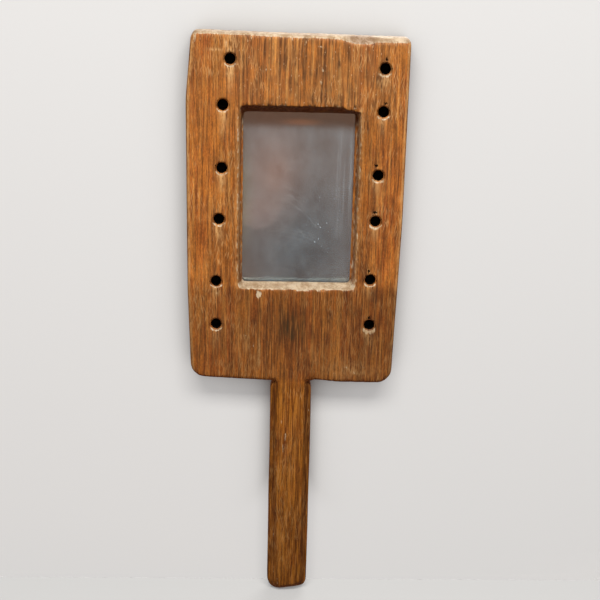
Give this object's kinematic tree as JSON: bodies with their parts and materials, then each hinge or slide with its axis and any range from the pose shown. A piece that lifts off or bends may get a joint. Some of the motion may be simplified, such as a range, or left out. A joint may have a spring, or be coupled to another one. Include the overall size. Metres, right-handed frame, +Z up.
{
  "type": "mirror board",
  "caption": "Hand-held wooden mirror board: rectangular oak head with straight handle, bevelled window over a small mirror and a row of lace holes down each side.",
  "frame": {"origin": "foot of the handle, on the middle of the object's width and thickness", "axes": "+X to the right seen from the front, the mirror faces -Y, +Z up along the handle"},
  "size_m": [0.1276, 0.016, 0.3585],
  "materials": {
    "oak": "old oiled oak, open grain, worn pale along edges and dark on the handle",
    "mirror_glass": "old polished pane with fine scratches and haze",
    "silvering": "dulled silvering with grey haze and specks",
    "card": "matte brown card",
    "panel_wood": "thin planed wood, darkened, dry",
    "brad_iron": "dark rusted iron"
  },
  "bodies": {
    "root": {"board": "oak", "mirror_glass": "mirror_glass", "mirror_silvering": "silvering", "packing_card": "card", "back_panel": "panel_wood", "panel_brads": "brad_iron"}
  },
  "joints": []
}
